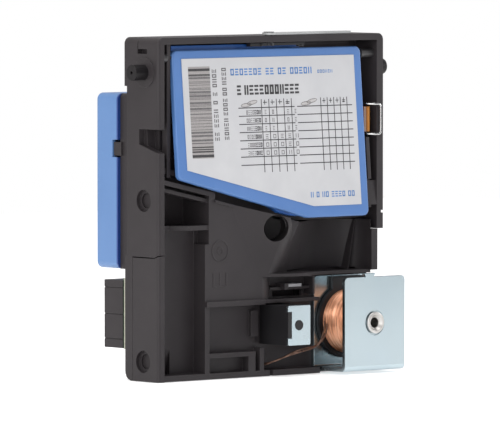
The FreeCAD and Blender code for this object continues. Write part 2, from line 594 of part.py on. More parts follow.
leads = []
for side in (0.0, 1.0):
    way = [
        (66.55 - side * 0.1, 1.2 - side * 1.2, 15.6 - side * 0.8),
        (65.7, 1.0 - side * 1.1, 11.6),
        (63.4 - side * 0.5, 0.3 - side * 0.6, 9.0 - side * 0.2),
        (57.8, -0.9 - side * 0.3, 7.9 - side * 0.5),
        (51.6, -0.9, 6.6 - side * 0.4),
        (46.6, 0.6 + side * 0.5, 4.5 - side * 0.1),
        (45.0 - side * 0.5, 3.6, 3.6 - side * 0.4),
        (44.9 - side * 0.4, 5.9, 3.6 - side * 0.4),
    ]
    leads.append(wire_rod(way, LEAD_R))
save("solenoid_leads", Part.makeCompound(leads))

plunger = join([
    rod((SOL_X, -1.0, SOL_Z), (0, 1, 0), PLUNGER_R, 9.3),
    rod((SOL_X, 8.3, SOL_Z), (0, 1, 0), 1.2, 2.1),
])
save("solenoid_plunger", plunger)

gate_blade = join([
    box(62.0, 83.8, 9.5, 10.4, 8.0, 28.0),
    rod((SOL_X, 8.3, SOL_Z), (0, 1, 0), 2.6, 1.3),
    prism_yz([(9.5, 28.0), (10.4, 28.0), (10.4, 29.0)], 62.0, 83.8),
])
gate_blade = gate_blade.cut(rod((SOL_X, 8.0, SOL_Z), (0, 1, 0), 1.2, 3.0))
save("accept_gate", gate_blade)

# ---------------------------------------------------------------- circuit board and what it carries
board_outline = [(0.8, 9.2), (86.2, 9.2), (86.2, 83.4), (2.8, 83.4), (2.8, 30.3), (0.8, 30.3)]
board = prism_xz(board_outline, BOARD[0], BOARD[1])
pin_rods = []
for row in (-1.27, 1.27):
    for step in range(5):
        x = (HEADER[0] + HEADER[1]) / 2.0 + row
        z = (HEADER_Z[0] + HEADER_Z[1]) / 2.0 + (step - 2) * 2.54
        pin_rods.append(box(x - 0.32, x + 0.32, 14.4, 23.6, z - 0.32, z + 0.32))
header_pins = Part.makeCompound(pin_rods)
board = board.cut(header_pins)
for x, z in SCREW_SPOTS:
    board = board.cut(rod((x, BOARD[0] - 1.0, z), (0, 1, 0), 1.1, 4.0))
save("circuit_board", board)

header = box(HEADER[0], HEADER[1], BOARD[1], HEADER_REAR, HEADER_Z[0], HEADER_Z[1])
header = header.cut(box(1.5, 8.5, 18.4, 30.0, HEADER_Z[0] + 1.1, HEADER_Z[1] - 1.1))
header = header.cut(box(8.0, 10.0, 20.0, 30.0, 17.6, 21.4))
for z in (12.1, 19.5, 27.4):
    header = header.cut(box(0.0, 0.75, 16.0, 30.0, z - 0.15, z + 0.15))
header = header.cut(header_pins)
save("box_header", header)
save("header_pins", header_pins)

screws = []
for x, z in SCREW_SPOTS:
    screw = join([
        rod((x, BOARD[1], z), (0, 1, 0), 2.3, 1.5),
        rod((x, BOARD[0] - 3.8, z), (0, 1, 0), 1.1, 3.8 + BOARD[1] - BOARD[0] + 0.3),
    ])
    screw = screw.cut(box(x - 1.6, x + 1.6, BOARD[1] + 0.7, BOARD[1] + 3.0, z - 0.25, z + 0.25))
    screw = screw.cut(box(x - 0.25, x + 0.25, BOARD[1] + 0.7, BOARD[1] + 3.0, z - 1.6, z + 1.6))
    screws.append(screw)
save("board_screws", Part.makeCompound(screws))

save("microcontroller", box(42.0, 56.0, BOARD[1], BOARD[1] + 1.6, 52.0, 66.0))
capacitors = [
    rod((64.0, BOARD[1], 44.0), (0, 1, 0), 3.15, 7.0),
    rod((72.0, BOARD[1], 66.0), (0, 1, 0), 4.0, 7.6),
]
save("capacitors", Part.makeCompound(capacitors))

switch_body = box(DIAL_X - 5.0, DIAL_X + 5.0, BOARD[1], 24.4, DIAL_Z - 5.0, DIAL_Z + 5.0)
switch_body = switch_body.cut(rod((DIAL_X, 23.0, DIAL_Z), (0, 1, 0), 2.0 + FIT, 3.0))
save("coding_switch_body", switch_body)
dial = join([
    rod((DIAL_X, 23.1, DIAL_Z), (0, 1, 0), 2.0, 2.0),
    rod((DIAL_X, 24.7, DIAL_Z), (0, 1, 0), 3.2, 2.7),
])
dial = dial.cut(box(DIAL_X - 2.4, DIAL_X + 2.4, 26.4, 30.0, DIAL_Z - 0.5, DIAL_Z + 0.5))
dial_mark = [(2.4, -1.2), (3.1, 0.0), (2.4, 1.2), (1.8, 0.0)]
dial = dial.cut(prism_xz([(DIAL_X + x, DIAL_Z + z) for x, z in dial_mark], 26.4, 30.0))
save("coding_dial", dial)

# ---------------------------------------------------------------- rear frame and rear cover
rear_frame = join([
    box(1.2, 2.6, REAR_MID, COVER_Y[0], SPLIT_Z + 0.7, COVER_Z[1]),
    box(1.2, 2.6, REAR_EDGE, COVER_Y[0], COVER_Z[0], SPLIT_Z + 1.0),
    box(86.4, 87.8, REAR_MID, COVER_Y[0], SPLIT_Z + 0.7, COVER_Z[1]),
    box(86.4, 87.8, REAR_EDGE, COVER_Y[0], COVER_Z[0], SPLIT_Z + 1.0),
    box(1.2, 87.8, REAR_MID, COVER_Y[0], COVER_Z[1] - 1.4, COVER_Z[1]),
    box(0.5, 2.6, COVER_Y[0] - 1.2, 21.0, 66.7, 70.7),
    box(86.4, 88.5, COVER_Y[0] - 1.2, 21.0, 66.7, 70.7),
])
rear_frame = cut(rear_frame, [
    box(-1.0, 90.0, COVER_Y[0], 22.0, 60.0, 66.69),
    box(1.75, 87.25, COVER_Y[0], 22.0, 60.0, 75.0),
])
rear_frame = rounded(rear_frame, 1, 1.2, lambda p: p.z > COVER_Z[1] - 0.01)
save("rear_frame", rear_frame)

cover = box(0.2, 88.8, COVER_Y[0], COVER_Y[1], COVER_Z[0], COVER_Z[1])
cover = rounded(cover, 1, 2.0, lambda p: True)
cover = cover.makeFillet(1.0, [e for e in cover.Edges if e.BoundBox.YMin > COVER_Y[1] - 0.01])
hollow = box(0.2 + COVER_WALL, 88.8 - COVER_WALL, COVER_Y[0] - 1.0, COVER_Y[1] - COVER_WALL,
             COVER_Z[0] + COVER_WALL, COVER_Z[1] - COVER_WALL)
cover = cut(cover, [
    hollow,
    box(-1.0, 3.0, COVER_Y[0] - 1.0, 21.4, 66.2, 71.4),
    box(86.0, 90.0, COVER_Y[0] - 1.0, 21.4, 66.2, 71.4),
    rod((DIAL_X, 26.0, DIAL_Z), (0, 1, 0), 3.6, 4.0),
])
for step in range(5):
    z = 70.0 - step * 2.4
    cover = cover.cut(box(58.0, 80.0, 26.0, 30.0, z, z + 1.0))
save("rear_cover", cover)
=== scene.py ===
import bpy
import bmesh
import math
import random
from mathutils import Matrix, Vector


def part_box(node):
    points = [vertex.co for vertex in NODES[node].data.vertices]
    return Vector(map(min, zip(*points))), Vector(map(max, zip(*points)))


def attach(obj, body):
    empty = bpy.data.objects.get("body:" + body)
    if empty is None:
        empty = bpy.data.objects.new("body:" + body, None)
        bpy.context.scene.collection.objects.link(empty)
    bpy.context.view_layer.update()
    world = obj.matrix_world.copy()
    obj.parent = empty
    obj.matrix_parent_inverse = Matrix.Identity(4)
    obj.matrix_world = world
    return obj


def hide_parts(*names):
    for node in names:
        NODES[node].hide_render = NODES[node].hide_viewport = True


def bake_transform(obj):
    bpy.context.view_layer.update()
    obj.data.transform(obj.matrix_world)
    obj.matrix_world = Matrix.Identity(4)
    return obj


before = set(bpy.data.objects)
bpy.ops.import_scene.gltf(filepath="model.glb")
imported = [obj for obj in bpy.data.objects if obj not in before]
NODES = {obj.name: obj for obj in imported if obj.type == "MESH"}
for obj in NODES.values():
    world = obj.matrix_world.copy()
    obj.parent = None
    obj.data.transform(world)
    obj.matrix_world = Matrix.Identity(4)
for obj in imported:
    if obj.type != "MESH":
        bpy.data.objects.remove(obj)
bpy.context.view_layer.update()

# Electronic coin validator: materials, printed label, coil, film loop and board details round the
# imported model. Everything is in metres in the row frame. Positions written in millimetres in the
# working frame of the part (left wall at 0, front edge at 0, underside at 0) go through at().

MM = 0.001
ORIGIN = (44.5, 9.0, 0.0)
DECK_TILT = math.radians(4.7)
DECK_TOP_Y = 1.5
DECK_TOP_Z = 97.5


def at(x, y, z):
    return Vector(((x - ORIGIN[0]) * MM, (y - ORIGIN[1]) * MM, (z - ORIGIN[2]) * MM))


def on_deck(x, z, out):
    """A point on the deck, out millimetres in front of its front face; z is measured along the face."""
    along = z - DECK_TOP_Z
    y = DECK_TOP_Y - out * math.cos(DECK_TILT) + along * math.sin(DECK_TILT)
    return at(x, y, DECK_TOP_Z + along * math.cos(DECK_TILT) + out * math.sin(DECK_TILT))


# ---------------------------------------------------------------- shader helpers
def material(name):
    mat = bpy.data.materials.new(name)
    mat.use_nodes = True
    return mat, mat.node_tree, mat.node_tree.nodes["Principled BSDF"]


def link(tree, a, b):
    tree.links.new(a, b)


def node(tree, kind, **values):
    n = tree.nodes.new(kind)
    for key, value in values.items():
        setattr(n, key, value)
    return n


def coords(tree, scale=(1, 1, 1)):
    place = node(tree, "ShaderNodeTexCoord")
    mapping = node(tree, "ShaderNodeMapping")
    mapping.inputs["Scale"].default_value = scale
    link(tree, place.outputs["Object"], mapping.inputs["Vector"])
    return mapping.outputs["Vector"]


def component(tree, vector, axis):
    split = node(tree, "ShaderNodeSeparateXYZ")
    link(tree, vector, split.inputs[0])
    return split.outputs[axis]


def absolute(tree, value):
    n = node(tree, "ShaderNodeMath", operation="ABSOLUTE")
    link(tree, value, n.inputs[0])
    return n.outputs[0]


def noise(tree, vector, scale, detail=3.0):
    n = node(tree, "ShaderNodeTexNoise")
    n.inputs["Scale"].default_value = scale
    n.inputs["Detail"].default_value = detail
    n.inputs["Roughness"].default_value = 0.55
    link(tree, vector, n.inputs["Vector"])
    return n.outputs["Fac"]


def ramp(tree, fac, stops):
    r = node(tree, "ShaderNodeValToRGB")
    while len(r.color_ramp.elements) < len(stops):
        r.color_ramp.elements.new(0.5)
    for element, (pos, colour) in zip(r.color_ramp.elements, stops):
        element.position = pos
        element.color = (*colour, 1.0)
    link(tree, fac, r.inputs["Fac"])
    return r.outputs["Color"]


def spread(tree, fac, low, high, from_low=0.3, from_high=0.7):
    m = node(tree, "ShaderNodeMapRange")
    m.inputs["From Min"].default_value = from_low
    m.inputs["From Max"].default_value = from_high
    m.inputs["To Min"].default_value = low
    m.inputs["To Max"].default_value = high
    link(tree, fac, m.inputs["Value"])
    return m.outputs["Result"]


def tinted(tree, tone, colour, amount):
    """tone, going over to one colour as amount goes from 0 to 1."""
    mix = node(tree, "ShaderNodeMix", data_type="RGBA")
    link(tree, amount, mix.inputs["Factor"])
    link(tree, tone, mix.inputs["A"])
    mix.inputs["B"].default_value = (*colour, 1.0)
    return mix.outputs["Result"]


def bump(tree, height, strength, distance, normal=None):
    b = node(tree, "ShaderNodeBump")
    b.inputs["Strength"].default_value = strength
    b.inputs["Distance"].default_value = distance
    link(tree, height, b.inputs["Height"])
    if normal is not None:
        link(tree, normal, b.inputs["Normal"])
    return b.outputs["Normal"]


def soft_edges(tree, radius):
    b = node(tree, "ShaderNodeBevel", samples=4)
    b.inputs["Radius"].default_value = radius
    return b.outputs["Normal"]


def edge_mask(tree, radius):
    """Bright along edges, from how far the bevelled normal leaves the face normal."""
    geometry = node(tree, "ShaderNodeNewGeometry")
    dot = node(tree, "ShaderNodeVectorMath", operation="DOT_PRODUCT")
    link(tree, soft_edges(tree, radius), dot.inputs[0])
    link(tree, geometry.outputs["Normal"], dot.inputs[1])
    return spread(tree, dot.outputs["Value"], low=1.0, high=0.0, from_low=0.80, from_high=0.995)


# ---------------------------------------------------------------- plastics
# Noise scales are per metre of the part.
CLOUD_SCALE = 38.0
HIGHLIGHT_PATCH_SCALE = 420.0
POLISH_SCALE = 160.0
SPARK_SCALE = 5200.0
SPARK_DEPTH = 0.06 * MM
PLASTIC_EDGE = 0.22 * MM
HIGHLIGHT_EDGE = 0.35 * MM


def plastic(name, dark, light, rough, grain=0.25, grain_scale=SPARK_SCALE, edge_highlight=None, shine=0.5,
            rim_shade=None, pin_shade=None):
    """Moulded plastic: fine spark grain, cloudy tone and softened edges.

    The highlight tone is painted in patches along edges: a painted highlight. The lip shade gives
    the y of a cut lip and a darker colour painted within a millimetre of it: painted shade. The pin shade
    gives the distance from the middle beyond which the side pin stubs are painted darker: painted shade.
    """
    mat, tree, bsdf = material(name)
    bsdf.inputs["Specular IOR Level"].default_value = shine
    vector = coords(tree)
    tone = ramp(tree, noise(tree, vector, CLOUD_SCALE, detail=4.0), [(0.3, dark), (0.72, light)])
    if edge_highlight is not None:
        # Painted highlight: a lighter tone laid in patches along edges.
        amount = node(tree, "ShaderNodeMath", operation="MULTIPLY")
        link(tree, edge_mask(tree, HIGHLIGHT_EDGE), amount.inputs[0])
        link(tree, spread(tree, noise(tree, vector, HIGHLIGHT_PATCH_SCALE, detail=4.0), 0.15, 0.8), amount.inputs[1])
        tone = tinted(tree, tone, edge_highlight, amount.outputs[0])
    # Painted shade: a darker colour within a millimetre of the cut lip at the given y.
    if rim_shade is not None:
        rim_shade_y, rim_shade_colour = rim_shade
        y = component(tree, vector, "Y")
        tone = tinted(tree, tone, rim_shade_colour, spread(tree, y, 1.0, 0.0, rim_shade_y + 0.3 * MM, rim_shade_y + 0.8 * MM))
    # Painted shade: the side pin stubs beyond the given distance are painted darker.
    if pin_shade is not None:
        pin_shade_x, pin_shade_colour = pin_shade
        side = absolute(tree, component(tree, vector, "X"))
        tone = tinted(tree, tone, pin_shade_colour, spread(tree, side, 0.0, 1.0, pin_shade_x, pin_shade_x + 0.2 * MM))
    link(tree, tone, bsdf.inputs["Base Color"])
    polish = noise(tree, vector, POLISH_SCALE, detail=5.0)
    link(tree, spread(tree, polish, rough[0], rough[1]), bsdf.inputs["Roughness"])
    spark = noise(tree, vector, grain_scale, detail=2.0)
    link(tree, bump(tree, spark, grain, SPARK_DEPTH, soft_edges(tree, PLASTIC_EDGE)), bsdf.inputs["Normal"])
    return mat


# The rear cover's front face, where its cut lip is painted darker as shade.
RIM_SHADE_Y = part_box("rear_cover")[0][1]
# Distance from the middle beyond which the side pin stubs are painted darker: painted shade.
PIN_SHADE_FROM = 44.9 * MM

# In the plastics below, the lighter tone given for edges is a painted highlight.
HOUSING = plastic("housing_black", (0.0235, 0.0203, 0.0220), (0.0320, 0.0278, 0.0298), rough=(0.38, 0.50),
                  grain=0.3, edge_highlight=(0.050, 0.045, 0.047), shine=0.24, pin_shade=(PIN_SHADE_FROM, (0.009, 0.008, 0.009)))
BLACK = plastic("black_parts", (0.0105, 0.0098, 0.0110), (0.0155, 0.0148, 0.0162), rough=(0.34, 0.46),
                edge_highlight=(0.032, 0.031, 0.033), shine=0.30)
DECK_BLUE = plastic("deck_blue", (0.068, 0.163, 0.395), (0.078, 0.180, 0.422), rough=(0.32, 0.42),
                    grain=0.12, edge_highlight=(0.16, 0.31, 0.62))
# The carrier is painted a darker blue than the deck cover: painted shade, standing for that blue in shadow.
SHADED_CARRIER_BLUE = plastic("carrier_blue_shaded", (0.012, 0.080, 0.300), (0.016, 0.092, 0.330), rough=(0.36, 0.48),
                       grain=0.15)
# The navy given here is painted shade along the cover's front lip.
COVER_BLUE = plastic("rear_cover_blue", (0.092, 0.192, 0.400), (0.106, 0.212, 0.430), rough=(0.32, 0.44),
                     grain=0.2, edge_highlight=(0.15, 0.27, 0.50), rim_shade=(RIM_SHADE_Y, (0.010, 0.040, 0.190)))
GREY = plastic("light_grey_plastic", (0.30, 0.31, 0.31), (0.38, 0.39, 0.39), rough=(0.36, 0.48), grain=0.15)
GUIDE = plastic("light_guide", (0.22, 0.22, 0.23), (0.28, 0.28, 0.29), rough=(0.22, 0.30), grain=0.1)
PIVOT_GREY = plastic("pivot_grey", (0.022, 0.021, 0.022), (0.030, 0.029, 0.030), rough=(0.30, 0.40),
                     grain=0.1)
SMOKED = plastic("smoked_window", (0.010, 0.004, 0.006), (0.016, 0.006, 0.009), rough=(0.08, 0.14),
                 grain=0.03)
FERRITE = plastic("ferrite", (0.020, 0.020, 0.022), (0.035, 0.035, 0.037), rough=(0.5, 0.7), grain=0.5,
                  grain_scale=2600.0)
TRACK_GREEN = plastic("masked_track", (0.016, 0.070, 0.032), (0.022, 0.086, 0.040), rough=(0.22, 0.32),
                      grain=0.02)

# ---------------------------------------------------------------- metals
TARNISH_SCALE = 60.0
DRAWN_SCALE = 900.0
METAL_DEPTH = 0.04 * MM
METAL_EDGE = 0.2 * MM


def metal(name, dark, light, rough, grain_scale=DRAWN_SCALE, stretch=(1, 1, 1), strength=0.12):
    mat, tree, bsdf = material(name)
    bsdf.inputs["Metallic"].default_value = 1.0
    vector = coords(tree, stretch)
    cloud = noise(tree, vector, TARNISH_SCALE, detail=5.0)
    link(tree, ramp(tree, cloud, [(0.3, dark), (0.7, light)]), bsdf.inputs["Base Color"])
    streak = noise(tree, vector, grain_scale)
    link(tree, spread(tree, streak, rough[0], rough[1]), bsdf.inputs["Roughness"])
    link(tree, bump(tree, streak, strength, METAL_DEPTH, soft_edges(tree, METAL_EDGE)), bsdf.inputs["Normal"])
    return mat


ZINC = metal("bright_zinc", (0.42, 0.50, 0.54), (0.47, 0.55, 0.58), rough=(0.23, 0.28), grain_scale=120.0,
             stretch=(1, 1, 0.6), strength=0.006)
STEEL = metal("spring_steel", (0.44, 0.44, 0.44), (0.54, 0.54, 0.53), rough=(0.16, 0.26))
GOLD = metal("gold_plate", (0.80, 0.58, 0.22), (0.90, 0.68, 0.30), rough=(0.18, 0.28))
CAN = metal("drawn_can", (0.50, 0.51, 0.52), (0.62, 0.63, 0.64), rough=(0.28, 0.4))
RIVET = metal("riveted_tube", (0.50, 0.49, 0.47), (0.60, 0.58, 0.56), rough=(0.34, 0.44))
TINNED = metal("tinned_joint", (0.60, 0.60, 0.58), (0.72, 0.72, 0.70), rough=(0.24, 0.34))


# ---------------------------------------------------------------- wire, film, print and board
def copper_material():
    """Enamelled wire whose tone changes from turn to turn along the coil."""
    mat, tree, bsdf = material("enamelled_copper")
    bsdf.inputs["Metallic"].default_value = 0.85
    bsdf.inputs["Coat Weight"].default_value = 0.5
    bsdf.inputs["Coat Roughness"].default_value = 0.2
    turns_tone = noise(tree, coords(tree, (0.5, 5.0, 0.5)), scale=260.0, detail=4.0)
    stops = [(0.3, (0.36, 0.135, 0.070)), (0.52, (0.84, 0.38, 0.21)), (0.72, (1.0, 0.62, 0.42))]
    link(tree, ramp(tree, turns_tone, stops), bsdf.inputs["Base Color"])
    link(tree, spread(tree, noise(tree, coords(tree), scale=700.0), 0.28, 0.42), bsdf.inputs["Roughness"])
    return mat


def lead_material():
    mat, tree, bsdf = material("lead_enamel")
    bsdf.inputs["Metallic"].default_value = 0.7
    vector = coords(tree)
    stops = [(0.3, (0.09, 0.050, 0.038)), (0.7, (0.27, 0.155, 0.110))]
    link(tree, ramp(tree, noise(tree, vector, scale=500.0), stops), bsdf.inputs["Base Color"])
    link(tree, spread(tree, noise(tree, vector, scale=900.0), 0.25, 0.4), bsdf.inputs["Roughness"])
    return mat


def label_material():
    mat, tree, bsdf = material("label_film")
    vector = coords(tree)
    stops = [(0.3, (0.47, 0.475, 0.49)), (0.7, (0.515, 0.52, 0.53))]
    link(tree, ramp(tree, noise(tree, vector, scale=90.0, detail=5.0), stops), bsdf.inputs["Base Color"])
    link(tree, spread(tree, noise(tree, vector, scale=240.0), 0.30, 0.40), bsdf.inputs["Roughness"])
    link(tree, bump(tree, noise(tree, vector, scale=1500.0), 0.05, METAL_DEPTH), bsdf.inputs["Normal"])
    return mat


def ink_material(name, dark, light):
    mat, tree, bsdf = material(name)
    vector = coords(tree)
    speck = noise(tree, vector, scale=2600.0)
    link(tree, ramp(tree, speck, [(0.35, dark), (0.75, light)]), bsdf.inputs["Base Color"])
    link(tree, spread(tree, noise(tree, vector, scale=800.0), 0.42, 0.58), bsdf.inputs["Roughness"])
    return mat


def amber_material():
    """Amber film with light and dark streaks across it: painted highlights and painted shade."""
    mat, tree, bsdf = material("amber_film")
    # Painted highlights and shade: light and dark streaks of amber that vary along the film; they also give a
    # slight bump.
    light_and_shade_bands = noise(tree, coords(tree, (900.0, 120.0, 6.0)), scale=1.0, detail=2.0)
    stops = [(0.30, (0.10, 0.030, 0.006)), (0.50, (0.32, 0.115, 0.014)), (0.70, (0.54, 0.24, 0.05))]
    link(tree, ramp(tree, light_and_shade_bands, stops), bsdf.inputs["Base Color"])
    link(tree, spread(tree, noise(tree, coords(tree), scale=300.0), 0.14, 0.24), bsdf.inputs["Roughness"])
    link(tree, bump(tree, light_and_shade_bands, 0.25, METAL_DEPTH), bsdf.inputs["Normal"])
    bsdf.inputs["Coat Weight"].default_value = 0.6
    return mat


def board_material():
    """Green lacquer on the two faces and round their rims, bare pale laminate on the cut edges."""
    mat, tree, bsdf = material("board_laminate")
    vector = coords(tree)
    weave = noise(tree, coords(tree, (1, 1, 6)), scale=700.0, detail=2.0)
    green = ramp(tree, weave, [(0.3, (0.008, 0.036, 0.017)), (0.7, (0.013, 0.050, 0.024))])
    cream = ramp(tree, weave, [(0.3, (0.33, 0.33, 0.26)), (0.7, (0.42, 0.42, 0.34))])
    geometry = node(tree, "ShaderNodeNewGeometry")
    facing = absolute(tree, component(tree, geometry.outputs["True Normal"], "Y"))
    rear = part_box("circuit_board")[1][1]
    near_rear = spread(tree, component(tree, vector, "Y"), 0.0, 1.0, rear - 0.30 * MM, rear - 0.22 * MM)
    masked = node(tree, "ShaderNodeMath", operation="MAXIMUM")
    link(tree, spread(tree, facing, 0.0, 1.0, 0.4, 0.6), masked.inputs[0])
    link(tree, near_rear, masked.inputs[1])
    mix = node(tree, "ShaderNodeMix", data_type="RGBA")
    link(tree, masked.outputs[0], mix.inputs["Factor"])
    link(tree, cream, mix.inputs["A"])
    link(tree, green, mix.inputs["B"])
    link(tree, mix.outputs["Result"], bsdf.inputs["Base Color"])
    link(tree, spread(tree, noise(tree, vector, scale=400.0), 0.26, 0.40), bsdf.inputs["Roughness"])
    return mat


COPPER = copper_material()
LEAD = lead_material()
LABEL = label_material()
INK_BLACK = ink_material("ink_black", (0.022, 0.021, 0.023), (0.045, 0.043, 0.046))
INK_GREY = ink_material("ink_grey", (0.085, 0.080, 0.082), (0.15, 0.145, 0.15))
INK_PALE = ink_material("ink_pale", (0.38, 0.365, 0.36), (0.47, 0.455, 0.45))
INK_GROUND = ink_material("ink_ground", (0.27, 0.255, 0.25), (0.34, 0.325, 0.32))
INK_BLUE = ink_material("ink_blue", (0.060, 0.170, 0.42), (0.090, 0.215, 0.47))
AMBER = amber_material()
BOARD = board_material()

NODE_MATERIALS = {
    "main_housing": HOUSING, "gate_housing": HOUSING, "rear_frame": HOUSING,
    "deck_cover": DECK_BLUE, "deck_carrier": SHADED_CARRIER_BLUE, "deck_label": LABEL,
    "deck_sensor_cores": FERRITE, "deck_light_guides": SMOKED, "deck_pivot_pins": PIVOT_GREY,
    "deck_spring_clip": STEEL, "sensor_ribbon": AMBER,
    "reject_lever_shaft": BLACK, "reject_lever_arm": GREY, "reject_lever_finger": BLACK,
    "reject_lever_stud": BLACK,
    "runway_sensor_cores": FERRITE, "runway_photo_sensors": SMOKED, "exit_light_guide": GUIDE,
    "exit_sensor_block": BLACK, "sensor_clip_plate": ZINC,
    "solenoid_yoke": ZINC, "solenoid_core_tube": RIVET, "solenoid_bobbin": BLACK,
    "solenoid_winding": COPPER, "solenoid_leads": LEAD, "solenoid_plunger": STEEL, "accept_gate": BLACK,
    "circuit_board": BOARD, "box_header": HOUSING, "header_pins": GOLD, "board_screws": ZINC,
    "microcontroller": BLACK, "capacitors": CAN, "coding_switch_body": BLACK, "coding_dial": GREY,
    "rear_cover": COVER_BLUE,
}


def paint(obj, mat):
    obj.data.materials.clear()
    obj.data.materials.append(mat)


for name, mat in NODE_MATERIALS.items():
    slots = NODES[name].material_slots
    for index in range(len(slots)):
        slots[index].link = "OBJECT"
        slots[index].material = mat


# ---------------------------------------------------------------- mesh helpers
def new_object(name, bm, mat, smooth):
    mesh = bpy.data.meshes.new(name)
    bm.to_mesh(mesh)
    bm.free()
    obj = bpy.data.objects.new(name, mesh)
    bpy.context.scene.collection.objects.link(obj)
    for polygon in mesh.polygons:
        polygon.use_smooth = smooth
    paint(obj, mat)
    return obj


def add_piece(name, bm, mat, body, smooth=False):
    obj = new_object(name, bm, mat, smooth)
    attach(obj, body)
    return obj


def slab(bm, corners, depth):
    """A closed thin slab: corners is a loop of points, depth the vector from its front to its back."""
    front = [bm.verts.new(p) for p in corners]
    back = [bm.verts.new(p + depth) for p in corners]
    bm.faces.new(front)
    bm.faces.new(back[::-1])
    count = len(corners)
    for i in range(count):
        j = (i + 1) % count
        bm.faces.new((front[j], front[i], back[i], back[j]))


# ---------------------------------------------------------------- printed label
LABEL_OUT = 0.18
INK_T = 0.02
RING_STEPS = 28
INK_BACK = on_deck(0, 0, LABEL_OUT) - on_deck(0, 0, LABEL_OUT + INK_T)


def print_quad(bm, x0, x1, z0, z1, layer=0):
    """A printed rectangle. Layer 1 lies on top of layer 0."""
    out = LABEL_OUT + INK_T * (layer + 1)
    slab(bm, [on_deck(x, z, out) for x, z in ((x0, z0), (x1, z0), (x1, z1), (x0, z1))], INK_BACK)


def print_ring(bm, cx, cz, rx, rz, width, turn):
    """An elliptical line drawn as short slabs end to end."""
    for i in range(RING_STEPS):
        loop = []
        for angle_i, grow in ((i, 0.0), (i + 1, 0.0), (i + 1, width), (i, width)):
            angle = 2 * math.pi * angle_i / RING_STEPS
            x = (rx - grow) * math.cos(angle)
            z = (rz - grow) * math.sin(angle)
            px = cx + x * math.cos(turn) - z * math.sin(turn)
            pz = cz + x * math.sin(turn) + z * math.cos(turn)
            loop.append(on_deck(px, pz, LABEL_OUT + INK_T))
        slab(bm, loop, INK_BACK)


rng = random.Random(7)


def mark(bm, x, z, cell, turned=False):
    """One abstract printed mark in a cell of width, height and line: stems, bars or a hollow frame."""
    wide, tall, line = cell
    kind = rng.choice((0, 1, 1, 2, 2))
    runs = []
    if kind in (0, 2):
        runs += [(0.0, line, 0.0, tall), (wide - line, wide, 0.0, tall)]
    if kind in (1, 2):
        runs += [(0.0, wide, 0.0, line), (0.0, wide, tall - line, tall)]
    if kind == 1:
        runs.append((0.0, wide * 0.85, (tall - line) * 0.5, (tall + line) * 0.5))
    for x0, x1, z0, z1 in runs:
        if turned:
            print_quad(bm, x + tall - z1, x + tall - z0, z + x0, z + x1)
        else:
            print_quad(bm, x + x0, x + x1, z + z0, z + z1)


def mark_line(bm, x0, x1, z, cell, gap, space, chance=0.18):
    """A run of marks from x0 to x1 with wider spaces now and then."""
    x = x0
    while x + cell[0] <= x1:
        mark(bm, x, z, cell)
        x += cell[0] + (space if rng.random() < chance else gap)


def mark_column(bm, x, z0, z1, cell, gap, space, chance=0.18):
    """The same, turned sideways and going up from z0 to z1."""
    z = z0
    while z + cell[0] <= z1:
        mark(bm, x, z, cell, turned=True)
        z += cell[0] + (space if rng.random() < chance else gap)


# block of plain bars, read sideways, on a pale ground
BARS_X = (12.3, 20.7)
BARS_Z = (65.9, 93.2)
BARS_MARGIN = (4.4, 2.6)
BAR_WIDTHS = (0.16, 0.16, 0.30, 0.55)
BAR_GAPS = (0.22, 0.45, 0.75)
# top edge and thickness
HEAVY_BARS = ((92.6, 0.75), (90.9, 0.3), (69.4, 0.35), (68.7, 0.3), (68.1, 0.45), (67.0, 0.8))
ground = bmesh.new()
print_quad(ground, *BARS_X, *BARS_Z)
add_piece("label_bar_ground", ground, INK_GROUND, "deck")

bars = bmesh.new()
bar_top = BARS_Z[1] - BARS_MARGIN[1]
while bar_top > BARS_Z[0] + BARS_MARGIN[0]:
    thick = rng.choice(BAR_WIDTHS)
    print_quad(bars, *BARS_X, bar_top - thick, bar_top, layer=1)
    bar_top -= thick + rng.choice(BAR_GAPS)
add_piece("label_bars", bars, INK_GREY, "deck")
heavy = bmesh.new()
for bar_top, thick in HEAVY_BARS:
    print_quad(heavy, *BARS_X, bar_top - thick, bar_top, layer=1)
add_piece("label_heavy_bars", heavy, INK_BLACK, "deck")

# cells of the printed lines: width, height and line
SIDE_CELL = (1.05, 1.7, 0.34)
SIDE_CELL_NARROW = (1.0, 1.7, 0.34)
HEADING_CELL = (1.35, 2.0, 0.42)
NOTE_CELL = (0.75, 0.95, 0.2)
FOOT_CELL = (1.1, 1.7, 0.34)
TITLE_CELL = (1.6, 2.9, 0.64)
ROW_NAME_CELL = (0.62, 1.25, 0.17)
ROW_UNIT_CELL = (0.72, 1.3, 0.26)
ENTRY_CELL = (1.1, 1.25, 0.2)
ENTRY_CELL_NARROW = (0.72, 1.25, 0.2)

side_lines = bmesh.new()
mark_column(side_lines, x=21.5, z0=71.0, z1=92.8, cell=SIDE_CELL, gap=0.38, space=1.5)
mark_column(side_lines, x=25.3, z0=71.2, z1=92.8, cell=SIDE_CELL_NARROW, gap=0.34, space=0.9, chance=0.12)
add_piece("label_side_lines", side_lines, INK_GREY, "deck")

heading = bmesh.new()
mark_line(heading, x0=28.8, x1=62.0, z=90.3, cell=HEADING_CELL, gap=0.45, space=1.7, chance=0.12)
mark_line(heading, x0=63.2, x1=69.8, z=90.4, cell=NOTE_CELL, gap=0.3, space=0.3)
mark_line(heading, x0=58.0, x1=75.8, z=53.0, cell=FOOT_CELL, gap=0.34, space=1.2)
add_piece("label_heading", heading, INK_BLUE, "deck")

title = bmesh.new()
mark_line(title, x0=31.0, x1=56.4, z=84.4, cell=TITLE_CELL, gap=0.40, space=1.3, chance=0.2)
add_piece("label_title", title, INK_BLACK, "deck")

